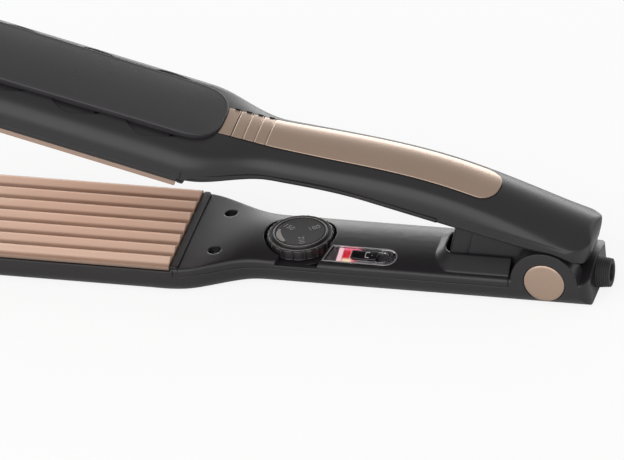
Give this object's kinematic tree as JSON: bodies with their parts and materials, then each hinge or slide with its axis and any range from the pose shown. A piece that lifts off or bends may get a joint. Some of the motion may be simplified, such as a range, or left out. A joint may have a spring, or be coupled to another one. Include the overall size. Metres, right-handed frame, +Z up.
{
  "type": "hair straightener",
  "caption": "Two hinged arms with wide ridged heating plates, a round temperature dial and a slide switch beside a lit window.",
  "frame": {"origin": "centre of the footprint, at the flat back of the lower arm that rests on a surface", "axes": "+X along the lower arm from its tip to the hinge, +Y across the arm away from the switch side, +Z up"},
  "size_m": [0.2602, 0.0516, 0.0899],
  "materials": {
    "black_plastic": "matte black moulded plastic",
    "satin_cover": "smooth satin black plastic",
    "gloss_black": "gloss black plastic",
    "dial_plastic": "satin black plastic",
    "frame_plastic": "black heat-proof plastic",
    "plate_coating": "rose-gold ceramic coating on aluminium",
    "champagne": "champagne metallic lacquer",
    "clear_window": "clear plastic",
    "red_lens": "red diffused lens",
    "heater_ceramic": "unglazed ceramic",
    "spring_steel": "bare spring steel",
    "screw_steel": "zinc-plated steel",
    "lead_sleeve": "glass-fibre sleeve",
    "board": "green solder mask",
    "component_plastic": "moulded component plastic",
    "gland_rubber": "black rubber"
  },
  "bodies": {
    "lower_arm": {"lower_shell": "black_plastic", "lower_inner_cover": "black_plastic", "lower_plate": "plate_coating", "lower_plate_frame": "frame_plastic", "lower_heater": "heater_ceramic", "lower_heater_clip": "spring_steel", "thermistor": "heater_ceramic", "lower_heater_leads": "lead_sleeve", "lower_cover_screws": "screw_steel", "control_board": "board", "temperature_pot": "component_plastic", "slide_switch": "component_plastic", "indicator_led": "red_lens", "switch_window": "clear_window", "hinge_pin": "screw_steel", "hinge_washers": "component_plastic", "hinge_spring": "spring_steel", "hinge_cap_near": "champagne", "hinge_cap_far": "champagne", "cord_gland": "gland_rubber"},
    "upper_arm": {"upper_shell": "black_plastic", "upper_inner_cover": "black_plastic", "top_cover": "satin_cover", "grip_inlay": "champagne", "upper_plate": "plate_coating", "upper_plate_frame": "frame_plastic", "upper_heater": "heater_ceramic", "upper_heater_clip": "spring_steel", "thermal_fuse": "heater_ceramic", "upper_heater_leads": "lead_sleeve", "upper_cover_screws": "screw_steel"},
    "dial": {"temperature_dial": "dial_plastic", "dial_face": "dial_plastic"},
    "button": {"switch_button": "gloss_black"}
  },
  "joints": [
    {"name": "arm_hinge", "type": "hinge", "parent": "lower_arm", "child": "upper_arm", "pos_m": [0.10905, 0, 0.0104], "axis": [0, -1, 0], "range_deg": [0, 15], "stiffness_Nm_per_rad": 0.8, "springref_deg": -28.65, "deforming": ["hinge_spring"]},
    {"name": "dial_turn", "type": "hinge", "parent": "lower_arm", "child": "dial", "pos_m": [0.01575, 0, 0.013], "axis": [0, 0, 1], "range_deg": [-135, 135]},
    {"name": "switch_slide", "type": "slide", "parent": "lower_arm", "child": "button", "axis": [1, 0, 0], "range_m": [0, 0.003]}
  ]
}
